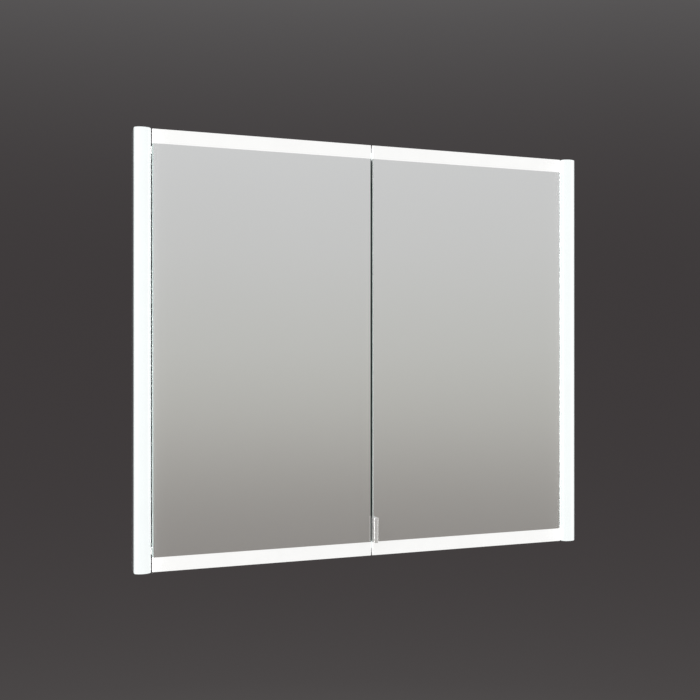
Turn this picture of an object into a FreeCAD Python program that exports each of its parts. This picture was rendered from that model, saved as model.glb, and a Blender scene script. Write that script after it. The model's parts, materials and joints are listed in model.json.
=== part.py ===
"""A flush-mounted two-door mirror cabinet with lit sides and lit top and bottom bands, in millimetres.

+X is to the right as seen from the front, +Y goes into the wall and +Z is up. The origin is the centre of
the four wall fixing holes, on the rear face of the back panel.
"""

import FreeCAD, Part
import math
import os
import re

import Sketcher

SIZES = {
    # overall
    "overall_width": 800,
    "overall_height": 700,
    "recess_depth": 130,  # rear face to wall surface
    "front_depth": 26,  # wall surface to mirror face
    "band_height": 23,  # frosted band at the top and bottom of each door
    # light bars at the sides
    "bar_width": 26,
    "bar_bulge": 8,  # how far the diffuser stands in front of the mirror
    "diffuser_wall": 2,
    "diffuser_depth": 5,  # how far the diffuser reaches behind the mirror face
    "channel_wall": 1.8,
    "cap_thickness": 1.5,
    "lip_depth": 4,
    "lip_thickness": 1.2,
    "lip_clearance": 0.1,
    "strip_width": 8,
    "strip_thickness": 1.2,
    "strip_end_gap": 6,
    # carcass
    "carcass_inset": 18,  # side panel's outer face behind the bar's outer edge
    "panel": 12,
    "back": 6,
    "back_pane": 4,
    "back_pane_gap": 1,
    "fixing_from_side": 70,  # hole to the inside of the side panel
    "fixing_below_box": 43,  # upper holes to the power box above them
    "fixing_hole_radius": 2.75,
    "fixing_cap_radius": 8,
    "fixing_cap_plug": 6.8,
    "fixing_cap_thickness": 2,
    "plug_clearance": 0.2,
    # shelves
    "shelf": 5,
    "shelf_depth": 100,
    "shelf_back_gap": 6,
    "shelf_side_gap": 1,
    "shelf_level": 105,
    "pin_radius": 2.5,
    "pin_reach": 8,
    "pin_seat": 5,
    "pin_collar_radius": 4,
    "pin_collar": 1.5,
    "pin_row_inset": 18,
    "pin_pitch": 32,
    # doors
    "side_gap": 2.6,
    "centre_gap": 2.5,
    "pane": 4,
    "pane_bevel": 1.5,
    "core": 10,
    "core_inset": 1,
    "inner_pane": 4,
    "inner_pane_inset": 2,
    # door pivots
    "pivot_inset": 12,
    "pivot_radius": 2,
    "pivot_reach": 16,
    "pivot_end_gap": 3,
    "pivot_head_radius": 3.4,
    "pivot_head": 1.2,
    "bush_radius": 3.5,
    "bush_length": 14,
    "bush_flange_radius": 4.5,
    "bush_flange": 0.6,
    "bush_clearance": 0.05,
    "thrust_clearance": 0.3,
    "bracket": 3.5,
    "boss_radius": 4.5,
    "arm_lean": 20,  # degrees away from straight back
    "arm_length": 34,
    "foot_width": 22,
    "foot_depth": 26,
    "foot_shift": 12,
    "foot_setback": 8,
    "screw_radius": 1.5,
    "screw_length": 10,
    "screw_head_radius": 2.4,
    "screw_head": 1.4,
    "screw_spread": 6,
    # band lights
    "band_light_rise": 15,
    "band_light_depth": 16,
    "band_light_wall": 1.5,
    "band_light_end_gap": 38,
    "band_diffuser": 2,
    # handle
    "handle_width": 8,
    "handle_height": 42,
    "handle_reach": 12,
    "handle_overhang": 1.7,
    "handle_round": 1,
    "scoop_radius": 9,
    "scoop_depth": 2.2,
    "handle_screw_spread": 24,
    "handle_screw_radius": 1.2,
    "handle_screw_length": 9,
    "handle_screw_head_radius": 2.2,
    "handle_screw_head": 1.1,
    # catches and bumpers
    "catch_width": 30,
    "catch_height": 12,
    "catch_depth": 24,
    "catch_from_middle": 12,
    "catch_gap": 0.3,
    "strike_width": 24,
    "strike_height": 9,
    "strike_thickness": 1,
    "bumper_radius": 4,
    "bumper_from_edge": 60,
    "bumper_gap": 0.3,
    # power box
    "box_width": 150,
    "box_height": 72,
    "box_depth": 62,
    "box_wall": 2.5,
    "socket_from_side": 108,
    "socket_plate": 54,
    "socket_plate_thickness": 2,
    "socket_radius": 22,
    "socket_wall": 2.5,
    "socket_depth": 17.5,
    "socket_floor": 5,
    "contact_radius": 2.4,
    "contact_spread": 9.5,
    "contact_depth": 4,
    "insert_clearance": 0.3,
    "switch_from_side": 40,
    "bezel_radius": 13,
    "bezel_flange": 2,
    "barrel_radius": 10.5,
    "barrel_depth": 18,
    "barrel_floor": 3,
    "button_radius": 8,
    "button_length": 14,
    "button_proud": 3,
    "button_clearance": 0.3,
    "driver_width": 120,
    "driver_height": 40,
    "driver_depth": 22,
    "driver_from_side": 16,
    "driver_from_top": 12,
    "block_width": 36,
    "block_height": 11,
    "block_depth": 16,
    "block_from_side": 70,
    "grommet_from_side": 30,
    "grommet_from_back": 34,
    "grommet_radius": 7,
    "grommet_flange_radius": 10,
    "grommet_flange": 2,
    "grommet_bore": 4.5,
}

# Places worked out from the sizes. Each is written in terms of the sizes and of places above it.
PLACES = {
    "half_width": "overall_width / 2",
    "half_height": "overall_height / 2",
    "bar_inner": "half_width - bar_width",
    "bar_middle": "half_width - bar_width / 2",
    "mirror_y": "-(recess_depth + front_depth)",
    "wall_y": "-recess_depth",
    "diffuser_back_y": "mirror_y + diffuser_depth",
    "door_outer": "bar_inner - side_gap",
    "door_inner": "centre_gap / 2",
    "pane_back_y": "mirror_y + pane",
    "core_back_y": "pane_back_y + core",
    "door_back_y": "core_back_y + inner_pane",
    "pivot_x": "door_outer - pivot_inset",
    "pivot_y": "pane_back_y + core / 2",
    "carcass_x": "half_width - carcass_inset",
    "inside_x": "carcass_x - panel",
    "carcass_z": "half_height - band_height",
    "inside_z": "carcass_z - panel",
    "back_y": "-back",
    "back_pane_y": "back_y - back_pane",
    "core_z": "carcass_z - bush_flange - thrust_clearance",
    "inner_pane_z": "core_z - inner_pane_inset",
    "bay_inner": "panel / 2",
    "shelf_back_y": "back_pane_y - shelf_back_gap",
    "shelf_front_y": "shelf_back_y - shelf_depth",
    "band_channel_y": "wall_y - band_light_wall",
    "band_light_y": "band_channel_y - band_diffuser",
    "band_light_x": "bar_inner - band_light_end_gap",
    "band_light_top": "carcass_z + band_light_rise",
    "foot_front_y": "wall_y + foot_setback",
    "foot_x": "pivot_x - foot_shift",
    "bracket_top": "carcass_z + bracket",
    "handle_bottom": "-carcass_z",
    "handle_left": "door_inner - handle_overhang",
    "handle_front_y": "mirror_y - handle_reach",
    "handle_middle": "handle_bottom + handle_height / 2",
    "box_left": "inside_x - box_width",
    "box_bottom": "inside_z - box_height",
    "fixing_x": "inside_x - fixing_from_side",
    "fixing_z": "box_bottom - fixing_below_box",
    "box_front_y": "back_y - box_depth",
    "box_middle_z": "inside_z - box_height / 2",
    "socket_x": "inside_x - socket_from_side",
    "switch_x": "inside_x - switch_from_side",
    "plate_front_y": "box_front_y - socket_plate_thickness",
    "bezel_front_y": "box_front_y - bezel_flange",
    "button_front_y": "bezel_front_y - button_proud",
    "grommet_x": "inside_x - grommet_from_side",
    "grommet_y": "-grommet_from_back",
    "bar_screw_x": "(bar_inner + channel_wall + bar_middle - strip_width / 2) / 2",
}

doc = FreeCAD.newDocument("mirror_cabinet")
sheet = doc.addObject("Spreadsheet::Sheet", "dims")
nodes = []


def fill_sheet():
    """Writes one named size to each row of the sheet."""
    for row, (name, value) in enumerate(SIZES.items(), start=1):
        sheet.set(f"A{row}", name)
        sheet.set(f"B{row}", str(value))
        sheet.setAlias(f"B{row}", name)
    doc.recompute()


def formula(text):
    """Turns sizes and places into an expression on the sheet."""

    def swap(match):
        word = match.group(0)
        if word in PLACES:
            return "(" + formula(PLACES[word]) + ")"
        return "dims." + word if word in SIZES else word

    return re.sub(r"[a-z_]+", swap, text)


def bind(item, prop, text):
    item.setExpression(prop, formula(str(text)))


def place(item, x=0, y=0, z=0):
    """Binds an object's position to three formulas."""
    for axis, text in zip("xyz", (x, y, z)):
        bind(item, f"Placement.Base.{axis}", text)


def keep(item, label):
    """Makes an object a node of the part."""
    item.Label = label
    nodes.append(item)
    return item


def block(x, y, z):
    """A box between two formulas along each axis."""
    item = doc.addObject("Part::Box", "Block")
    for prop, (low, high) in zip(("Length", "Width", "Height"), (x, y, z)):
        bind(item, prop, f"({high}) - ({low})")
    place(item, x[0], y[0], z[0])
    return item


ROLLS = {"z": (0, 0, 1, 0), "y": (1, 0, 0, -90), "x": (0, 1, 0, 90)}


def rod(radius, length, x, y, z, along="z"):
    """A cylinder that starts at the given point and runs along an axis."""
    item = doc.addObject("Part::Cylinder", "Rod")
    bind(item, "Radius", radius)
    bind(item, "Height", length)
    turn = ROLLS[along]
    item.Placement.Rotation = FreeCAD.Rotation(FreeCAD.Vector(*turn[:3]), turn[3])
    place(item, x, y, z)
    return item


def join(*items):
    """Several shapes as one object. Shapes that don't touch stay separate solids."""
    if len(items) == 1:
        return items[0]
    item = doc.addObject("Part::MultiFuse", "Join")
    item.Shapes = list(items)
    item.Refine = True
    return item


def cut(base, *tools):
    item = doc.addObject("Part::Cut", "Cut")
    item.Base = base
    item.Tool = join(*tools)
    return item


def common(one, other):
    item = doc.addObject("Part::Common", "Common")
    item.Base = one
    item.Tool = other
    return item


def mirror(item, axis):
    """The same shape on the other side of the middle plane across an axis."""
    copy = doc.addObject("Part::Mirroring", "Mirror")
    copy.Source = item
    copy.Normal = FreeCAD.Vector(*(1 if axis == name else 0 for name in "xyz"))
    return copy


def sketch_outline(body, plane, points):
    """A closed outline whose corners are bound to pairs of formulas."""
    sketch = body.newObject("Sketcher::SketchObject", "Outline")
    support = next(item for item in body.Origin.OriginFeatures if item.Role == plane)
    sketch.AttachmentSupport = (support, [""])
    sketch.MapMode = "FlatFace"
    count = len(points)
    turns = [2 * math.pi * index / count for index in range(count)]
    corners = [FreeCAD.Vector(math.cos(turn), math.sin(turn), 0) for turn in turns]
    for index in range(count):
        sketch.addGeometry(Part.LineSegment(corners[index], corners[(index + 1) % count]), False)
    for index in range(count):
        sketch.addConstraint(Sketcher.Constraint("Coincident", index, 2, (index + 1) % count, 1))
        for kind, start, name, text in (
            ("DistanceX", corners[index].x, f"across{index}", points[index][0]),
            ("DistanceY", corners[index].y, f"along{index}", points[index][1]),
        ):
            added = sketch.addConstraint(Sketcher.Constraint(kind, -1, 1, index, 1, start))
            sketch.renameConstraint(added, name)
            bind(sketch, f"Constraints.{name}", text)
    return sketch


def prism(plane, points, start, length):
    """A body padded from an outline, up from Z in the XY plane or along X in the YZ plane."""
    body = doc.addObject("PartDesign::Body", "Prism")
    sketch = sketch_outline(body, plane, points)
    pad = body.newObject("PartDesign::Pad", "Pad")
    pad.Profile = sketch
    bind(pad, "Length", length)
    place(body, **{"z" if plane == "XY_Plane" else "x": start})
    return body


def keep_pair(left, name):
    """Keeps a left-hand piece and its mirror image as left_NAME and right_NAME."""
    keep(left, f"left_{name}")
    return left, keep(mirror(left, "x"), f"right_{name}")


# ---------------------------------------------------------------- fasteners and holes


def bar_screws():
    """Screws that hold a bar's channel to the front edge of its side panel."""
    screws = []
    for z in ("-half_height + 60", "0", "half_height - 60"):
        head_y = "wall_y - channel_wall - screw_head"
        screws.append(rod("screw_head_radius", "screw_head", "-bar_screw_x", head_y, z, "y"))
        shank = "channel_wall + screw_head + screw_length"
        screws.append(rod("screw_radius", shank, "-bar_screw_x", head_y, z, "y"))
    return join(*screws)


def bracket_screws():
    """Two screws through the foot of the left top bracket."""
    screws = []
    for side in ("-", "+"):
        x = f"-foot_x {side} screw_spread"
        y = "foot_front_y + foot_depth / 2"
        screws.append(rod("screw_head_radius", "screw_head", x, y, "bracket_top"))
        screws.append(rod("screw_radius", "screw_length + bracket", x, y, "carcass_z - screw_length"))
    return join(*screws)


def shelf_levels():
    return ("-shelf_level", "shelf_level")


def shelf_rows():
    """Front and rear lines of shelf pins."""
    return ("shelf_front_y + pin_row_inset", "shelf_back_y - pin_row_inset")


def pin_holes(x):
    """Rows of shelf pin holes that run along +X from x, three heights at each level."""
    holes = []
    for level in shelf_levels():
        for y in shelf_rows():
            for step in (-1, 0, 1):
                z = f"{level} - pin_radius + {step} * pin_pitch"
                holes.append(rod("pin_radius", "pin_seat", x, y, z, "x"))
    return holes


def shelf_pins():
    """The pins that carry the shelves: a stub in the panel, a collar and a seat."""
    shapes = []
    walls = (
        ("-inside_x", 1),
        ("-bay_inner", -1),
        ("bay_inner", 1),
        ("inside_x", -1),
    )
    for wall, way in walls:
        start = f"{wall} - pin_seat" if way > 0 else f"{wall} - pin_reach"
        collar = wall if way > 0 else f"{wall} - pin_collar"
        for level in shelf_levels():
            z = f"{level} - pin_radius"
            for y in shelf_rows():
                shapes.append(rod("pin_radius", "pin_seat + pin_reach", start, y, z, "x"))
                ring = rod("pin_collar_radius", "pin_collar", collar, y, z, "x")
                over = block(
                    (f"{collar} - 1", f"{collar} + pin_collar + 1"),
                    (f"{y} - pin_collar_radius", f"{y} + pin_collar_radius"),
                    (level, f"{level} + pin_collar_radius"),
                )
                shapes.append(cut(ring, over))
    return join(*shapes)


# ---------------------------------------------------------------- carcass


def make_carcass(side_screws, left_foot_screws, pins):
    """Side, top and bottom panels, the partition and the back panel."""
    whole_z = ("-carcass_z", "carcass_z")
    deep = ("wall_y", "back_y")
    left = block(("-carcass_x", "-inside_x"), deep, whole_z)
    keep_pair(cut(left, side_screws, *pin_holes("-inside_x - pin_seat")), "side_panel")

    across = ("-inside_x", "inside_x")
    top = block(across, deep, ("inside_z", "carcass_z"))
    right_foot_screws = mirror(left_foot_screws, "x")
    hole = rod("grommet_radius", "panel", "grommet_x", "grommet_y", "inside_z")
    keep(cut(top, left_foot_screws, right_foot_screws, hole), "top_panel")
    bottom = block(across, deep, ("-carcass_z", "-inside_z"))
    low_screws = [mirror(item, "z") for item in (left_foot_screws, right_foot_screws)]
    keep(cut(bottom, *low_screws), "bottom_panel")

    middle = block(("-bay_inner", "bay_inner"), deep, ("-inside_z", "inside_z"))
    both = pin_holes("-bay_inner") + pin_holes("bay_inner - pin_seat")
    keep(cut(middle, *both), "centre_partition")

    rear = block(("-carcass_x", "carcass_x"), ("back_y", "0"), whole_z)
    holes = [
        rod("fixing_hole_radius", "back", x, "back_y", z, "y")
        for x in ("-fixing_x", "fixing_x")
        for z in ("-fixing_z", "fixing_z")
    ]
    keep(cut(rear, *holes), "back_panel")
    keep(pins, "shelf_pins")


def make_back_mirrors():
    """A mirror behind each bay, and the caps that close the fixing holes in them."""
    gap = "back_pane_gap"
    deep = ("back_pane_y", "back_y")
    tall = (f"-inside_z + {gap}", f"inside_z - {gap}")
    wide = (f"-inside_x + {gap}", f"-bay_inner - {gap}")
    left_holes = [
        rod("fixing_cap_plug + plug_clearance", "back_pane", "-fixing_x", "back_pane_y", z, "y")
        for z in ("-fixing_z", "fixing_z")
    ]
    pane = cut(block(wide, deep, tall), *left_holes)
    keep(pane, "left_back_mirror")
    notch = block((f"box_left - {gap}", "inside_x"), deep, (f"box_bottom - {gap}", "inside_z"))
    keep(cut(mirror(pane, "x"), notch), "right_back_mirror")
    caps = []
    for x in ("-fixing_x", "fixing_x"):
        for z in ("-fixing_z", "fixing_z"):
            front = "back_pane_y - fixing_cap_thickness"
            caps.append(rod("fixing_cap_radius", "fixing_cap_thickness", x, front, z, "y"))
            caps.append(rod("fixing_cap_plug", "back_pane / 2", x, "back_pane_y", z, "y"))
    keep(join(*caps), "fixing_caps")


def make_shelves():
    """Two glass shelves in each bay, resting on the pins."""
    wide = ("-inside_x + shelf_side_gap", "-bay_inner - shelf_side_gap")
    collar = "pin_collar"
    wide = (f"{wide[0]} + {collar}", f"{wide[1]} - {collar}")
    deep = ("shelf_front_y", "shelf_back_y")
    for name, level in zip(("lower", "upper"), shelf_levels()):
        keep_pair(block(wide, deep, (level, f"{level} + shelf")), f"{name}_shelf")


# ---------------------------------------------------------------- light bars


def bar_diffuser():
    """The opal cover: straight sides, a half-elliptical front and two lips that enter the channel."""
    tall = ("-half_height + cap_thickness", "half_height - cap_thickness")

    def shell(inset):
        oval = doc.addObject("Part::Ellipse", "Oval")
        bind(oval, "MajorRadius", f"bar_width / 2 - {inset}")
        bind(oval, "MinorRadius", f"bar_bulge - {inset}")
        column = doc.addObject("Part::Extrusion", "Column")
        column.Base = oval
        column.DirMode = "Custom"
        column.Dir = FreeCAD.Vector(0, 0, 1)
        column.Solid = True
        bind(column, "LengthFwd", f"({tall[1]}) - ({tall[0]})")
        place(oval, "-bar_middle", "mirror_y", tall[0])
        wide = (f"-half_width + {inset}", f"-bar_inner - {inset}")
        front = block(wide, ("mirror_y - bar_bulge", "mirror_y"), tall)
        sides = block(wide, ("mirror_y", "diffuser_back_y"), tall)
        return join(common(column, front), sides)

    hollow = cut(shell("0"), shell("diffuser_wall"))
    lips = []
    for start, way in (("-half_width", 1), ("-bar_inner", -1)):
        near = f"{start} + {way} * (channel_wall + lip_clearance)"
        far = f"{start} + {way} * (channel_wall + lip_clearance + lip_thickness)"
        span = (near, far) if way > 0 else (far, near)
        lips.append(block(span, ("diffuser_back_y", "diffuser_back_y + lip_depth"), tall))
    return join(hollow, *lips)


def bar_profile(front_y):
    """The outline of a bar's channel in plan, open to the front."""
    wall = "channel_wall"
    return [
        ("-half_width", front_y),
        (f"-half_width + {wall}", front_y),
        (f"-half_width + {wall}", f"wall_y - {wall}"),
        (f"-bar_inner - {wall}", f"wall_y - {wall}"),
        (f"-bar_inner - {wall}", front_y),
        ("-bar_inner", front_y),
        ("-bar_inner", "wall_y"),
        ("-half_width", "wall_y"),
    ]


def bar_cap():
    """The left bar's top end cap, with the bar's own outline."""
    tall = ("half_height - cap_thickness", "half_height")
    oval = doc.addObject("Part::Ellipse", "Oval")
    bind(oval, "MajorRadius", "bar_width / 2")
    bind(oval, "MinorRadius", "bar_bulge")
    place(oval, "-bar_middle", "mirror_y", tall[0])
    column = doc.addObject("Part::Extrusion", "Column")
    column.Base = oval
    column.DirMode = "Custom"
    column.Dir = FreeCAD.Vector(0, 0, 1)
    column.Solid = True
    bind(column, "LengthFwd", "cap_thickness")
    wide = ("-half_width", "-bar_inner")
    front = common(column, block(wide, ("mirror_y - bar_bulge", "mirror_y"), tall))
    return join(front, block(wide, ("mirror_y", "wall_y"), tall))


def make_bars(side_screws):
    """Both light bars: channel, strip, diffuser and end caps."""
    inner = "half_height - cap_thickness"
    channel = prism("XY_Plane", bar_profile("diffuser_back_y"), f"-({inner})", f"2 * ({inner})")
    keep_pair(cut(channel, side_screws), "bar_channel")
    keep_pair(bar_diffuser(), "bar_diffuser")
    back_y = "wall_y - channel_wall"
    end = f"{inner} - strip_end_gap"
    wide = ("-bar_middle - strip_width / 2", "-bar_middle + strip_width / 2")
    strip = block(wide, (f"{back_y} - strip_thickness", back_y), (f"-({end})", end))
    keep_pair(strip, "bar_led_strip")
    caps = keep_pair(bar_cap(), "bar_top_cap")
    for cap, side in zip(caps, ("left", "right")):
        keep(mirror(cap, "z"), f"{side}_bar_bottom_cap")
    keep(join(side_screws, mirror(side_screws, "x")), "bar_screws")


# ---------------------------------------------------------------- band lights


def make_band_lights():
    """The lights behind the frosted bands: a channel with a wall lip, its strip and its cover."""
    wall = "band_light_wall"
    rear = "band_channel_y + band_light_depth"
    outline = [
        ("band_channel_y", "carcass_z"),
        (rear, "carcass_z"),
        (rear, "band_light_top"),
        ("wall_y", "band_light_top"),
        ("wall_y", "half_height"),
        ("band_channel_y", "half_height"),
        ("band_channel_y", f"band_light_top - {wall}"),
        (f"{rear} - {wall}", f"band_light_top - {wall}"),
        (f"{rear} - {wall}", f"carcass_z + {wall}"),
        ("band_channel_y", f"carcass_z + {wall}"),
    ]
    top = prism("YZ_Plane", outline, "-band_light_x", "2 * band_light_x")
    across = ("-band_light_x", "band_light_x")
    low = f"carcass_z + {wall} + lip_clearance"
    high = f"band_light_top - {wall} - lip_clearance"
    front = ("band_light_y", "band_channel_y")
    plate = block(across, front, ("carcass_z", "band_light_top"))
    legs = [
        block(across, ("band_channel_y", "band_channel_y + lip_depth"), span)
        for span in ((low, f"{low} + lip_thickness"), (f"{high} - lip_thickness", high))
    ]
    cover = join(plate, *legs)
    middle = "(carcass_z + band_light_top) / 2"
    strip = block(
        ("-band_light_x + strip_end_gap", "band_light_x - strip_end_gap"),
        (f"{rear} - {wall} - strip_thickness", f"{rear} - {wall}"),
        (f"{middle} - strip_width / 2", f"{middle} + strip_width / 2"),
    )
    for item, name in ((top, "light_channel"), (cover, "light_diffuser"), (strip, "led_strip")):
        keep(item, f"top_{name}")
        keep(mirror(item, "z"), f"bottom_{name}")


# ---------------------------------------------------------------- door pivots


def pivot_bracket():
    """The left top bracket: a boss round the pin, an arm that leans inward and a foot on the top panel."""
    boss = rod("boss_radius", "bracket", "-pivot_x", "pivot_y", "carcass_z")
    lean = "arm_lean"
    side_x = f"boss_radius * cos({lean})"
    side_y = f"boss_radius * sin({lean})"
    end_x = f"-pivot_x + arm_length * sin({lean})"
    end_y = f"pivot_y + arm_length * cos({lean})"
    outline = [
        (f"-pivot_x - {side_x}", f"pivot_y + {side_y}"),
        (f"-pivot_x + {side_x}", f"pivot_y - {side_y}"),
        (f"{end_x} + {side_x}", f"{end_y} - {side_y}"),
        (f"{end_x} - {side_x}", f"{end_y} + {side_y}"),
    ]
    arm = prism("XY_Plane", outline, "carcass_z", "bracket")
    foot = block(
        ("-foot_x - foot_width / 2", "-foot_x + foot_width / 2"),
        ("foot_front_y", "foot_front_y + foot_depth"),
        ("carcass_z", "bracket_top"),
    )
    return join(boss, arm, foot)


def pivot_pin():
    """The left top pin, hung from its bracket."""
    head = rod("pivot_head_radius", "pivot_head", "-pivot_x", "pivot_y", "bracket_top")
    low = "carcass_z - pivot_reach"
    shank = rod("pivot_radius", "bracket + pivot_reach", "-pivot_x", "pivot_y", low)
    return join(head, shank)


def pivot_bush():
    """The left top bush, without its bore: a sleeve in the door's core and a flange on its end."""
    sleeve = rod("bush_radius", "bush_length", "-pivot_x", "pivot_y", "core_z - bush_length")
    flange = rod("bush_flange_radius", "bush_flange", "-pivot_x", "pivot_y", "core_z")
    return join(sleeve, flange)


def make_pivots(foot_screws):
    """Brackets, pins and bushes at the four corners, and the bracket screws."""
    pin = pivot_pin()
    bracket = cut(pivot_bracket(), pin, foot_screws)
    for item, side in zip(keep_pair(bracket, "top_bracket"), ("left", "right")):
        keep(mirror(item, "z"), f"{side}_bottom_bracket")
    corners = [pin, mirror(pin, "z")]
    keep(join(*corners, *(mirror(item, "x") for item in corners)), "pivot_pins")
    bore_bottom = "core_z - bush_length"
    bore_radius = "pivot_radius + bush_clearance"
    bore = rod(bore_radius, "bush_length + bush_flange", "-pivot_x", "pivot_y", bore_bottom)
    bush = cut(pivot_bush(), bore)
    keep_pair(join(bush, mirror(bush, "z")), "door_bushes")
    screws = [foot_screws, mirror(foot_screws, "z")]
    keep(join(*screws, *(mirror(item, "x") for item in screws)), "bracket_screws")


# ---------------------------------------------------------------- doors


def door_core():
    """The left door's core board, drilled for the bushes and the ends of the pins."""
    wide = ("-door_outer + core_inset", "-door_inner")
    board = block(wide, ("pane_back_y", "core_back_y"), ("-core_z", "core_z"))
    depth = "pivot_reach + pivot_end_gap"
    drill = rod("bush_radius", depth, "-pivot_x", "pivot_y", f"carcass_z - ({depth})")
    return cut(board, drill, mirror(drill, "z"))


def front_pane():
    """The left door's front mirror, with polished bevels down its two upright edges."""
    left = "-door_outer"
    right = "-door_inner"
    bevel = "pane_bevel"
    outline = [
        (f"{left} + {bevel}", "mirror_y"),
        (f"{right} - {bevel}", "mirror_y"),
        (right, f"mirror_y + {bevel}"),
        (right, "pane_back_y"),
        (left, "pane_back_y"),
        (left, f"mirror_y + {bevel}"),
    ]
    return prism("XY_Plane", outline, "-half_height", "overall_height")


def handle_screws():
    """Two countersunk-style screws that enter the right door's core through its edge."""
    screws = []
    for side in ("-", "+"):
        z = f"handle_middle {side} handle_screw_spread / 2"
        start = ("handle_left", "pivot_y", z, "x")
        screws.append(rod("handle_screw_head_radius", "handle_screw_head", *start))
        screws.append(rod("handle_screw_radius", "handle_overhang + handle_screw_length", *start))
    return join(*screws)


def make_handle(screws):
    """The grip in front of the right door, and the leg that runs back along the door's edge."""
    grip = doc.addObject("Part::Fillet", "Rounded")
    grip.Base = block(
        ("handle_left", "handle_left + handle_width"),
        ("handle_front_y", "mirror_y"),
        ("handle_bottom", "handle_bottom + handle_height"),
    )
    doc.recompute()
    round_edges = []
    for index, edge in enumerate(grip.Base.Shape.Edges, start=1):
        middle = edge.CenterOfMass
        if middle.y < grip.Base.Shape.BoundBox.YMin + 0.01:
            round_edges.append((index, SIZES["handle_round"], SIZES["handle_round"]))
    grip.Edges = round_edges
    scoop_x = "handle_left + handle_width + scoop_radius - scoop_depth"
    scoop_y = "mirror_y - handle_reach / 2 + 1"
    scoop = rod("scoop_radius", "handle_height - 8", scoop_x, scoop_y, "handle_bottom + 4")
    leg = block(
        ("handle_left", "door_inner"),
        ("mirror_y", "core_back_y"),
        ("handle_bottom", "handle_bottom + handle_height"),
    )
    low_cut = block(
        ("handle_left", "door_inner"),
        ("mirror_y", "core_back_y"),
        ("handle_bottom", "-core_z"),
    )
    keep(cut(join(cut(grip, scoop), leg), low_cut, screws), "door_handle")


def make_doors():
    """Both doors: front pane, core board and inner mirror, with the handle on the right-hand one."""
    keep_pair(front_pane(), "front_mirror")
    left_core = door_core()
    keep(left_core, "left_door_core")
    screws = handle_screws()
    keep(cut(mirror(left_core, "x"), screws), "right_door_core")
    inset = "inner_pane_inset"
    wide = (f"-door_outer + core_inset + {inset}", f"-door_inner - {inset}")
    tall = ("-inner_pane_z", "inner_pane_z")
    keep_pair(block(wide, ("core_back_y", "door_back_y"), tall), "inner_mirror")
    make_handle(screws)
    keep(screws, "handle_screws")


def make_catches():
    """Magnetic catches under the top panel, their strikes on the doors, and the door bumpers."""
    far = "-catch_from_middle - catch_width"
    magnet_y = "door_back_y + strike_thickness + catch_gap"
    magnet = block(
        (far, "-catch_from_middle"),
        (magnet_y, f"{magnet_y} + catch_depth"),
        ("inside_z - catch_height", "inside_z"),
    )
    keep_pair(magnet, "catch")
    middle_x = "(-catch_from_middle - catch_width / 2)"
    middle_z = "(inside_z - catch_height / 2)"
    strike = block(
        (f"{middle_x} - strike_width / 2", f"{middle_x} + strike_width / 2"),
        ("door_back_y", "door_back_y + strike_thickness"),
        (f"{middle_z} - strike_height / 2", f"{middle_z} + strike_height / 2"),
    )
    keep_pair(strike, "strike")
    middle_panel = "inside_z + panel / 2"
    reach = "wall_y - door_back_y - bumper_gap"
    bumpers = [
        rod("bumper_radius", reach, "-door_inner - bumper_from_edge", "door_back_y", z, "y")
        for z in (f"-({middle_panel})", middle_panel)
    ]
    keep_pair(join(*bumpers), "door_bumpers")


# ---------------------------------------------------------------- power box


def make_power_box():
    """The cover in the right bay's top corner, with a socket, a switch and the driver behind it."""
    whole = block(("box_left", "inside_x"), ("box_front_y", "back_y"), ("box_bottom", "inside_z"))
    hollow = block(
        ("box_left + box_wall", "inside_x"),
        ("box_front_y + box_wall", "back_y"),
        ("box_bottom + box_wall", "inside_z"),
    )
    holes = [
        rod(f"{radius} + insert_clearance", "box_wall", x, "box_front_y", "box_middle_z", "y")
        for radius, x in (("socket_radius", "socket_x"), ("barrel_radius", "switch_x"))
    ]
    keep(cut(whole, hollow, *holes), "power_cover")
    make_socket()
    make_switch()
    driver_right = "inside_x - driver_from_side"
    driver_top = "inside_z - driver_from_top"
    driver = block(
        (f"{driver_right} - driver_width", driver_right),
        ("back_y - driver_depth", "back_y"),
        (f"{driver_top} - driver_height", driver_top),
    )
    keep(driver, "led_driver")
    block_right = "inside_x - block_from_side"
    terminals = block(
        (f"{block_right} - block_width", block_right),
        ("back_y - block_depth", "back_y"),
        ("box_bottom + box_wall", "box_bottom + box_wall + block_height"),
    )
    keep(terminals, "terminal_block")
    make_grommet()


def make_socket():
    """A round recessed socket with a square plate and two contact holes."""
    x = "socket_x"
    z = "box_middle_z"
    half = "socket_plate / 2"
    deep = ("plate_front_y", "box_front_y")
    plate = block((f"{x} - {half}", f"{x} + {half}"), deep, (f"{z} - {half}", f"{z} + {half}"))
    cup_depth = "socket_depth + socket_floor - socket_plate_thickness"
    cup = rod("socket_radius", cup_depth, x, "box_front_y", z, "y")
    recess = rod("socket_radius - socket_wall", "socket_depth", x, "plate_front_y", z, "y")
    floor_y = "plate_front_y + socket_depth"
    contacts = [
        rod("contact_radius", "contact_depth", f"{x} {side} contact_spread", floor_y, z, "y")
        for side in ("-", "+")
    ]
    keep(cut(join(plate, cup), recess, *contacts), "socket_outlet")


def make_switch():
    """A push switch: a bezel with a blind bore, and the button that slides in it."""
    x = "switch_x"
    z = "box_middle_z"
    flange = rod("bezel_radius", "bezel_flange", x, "bezel_front_y", z, "y")
    barrel = rod("barrel_radius", "barrel_depth", x, "box_front_y", z, "y")
    bore_depth = "bezel_flange + barrel_depth - barrel_floor"
    bore = rod("button_radius + button_clearance", bore_depth, x, "bezel_front_y", z, "y")
    keep(cut(join(flange, barrel), bore), "switch_bezel")
    keep(rod("button_radius", "button_length", x, "button_front_y", z, "y"), "switch_button")


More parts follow.
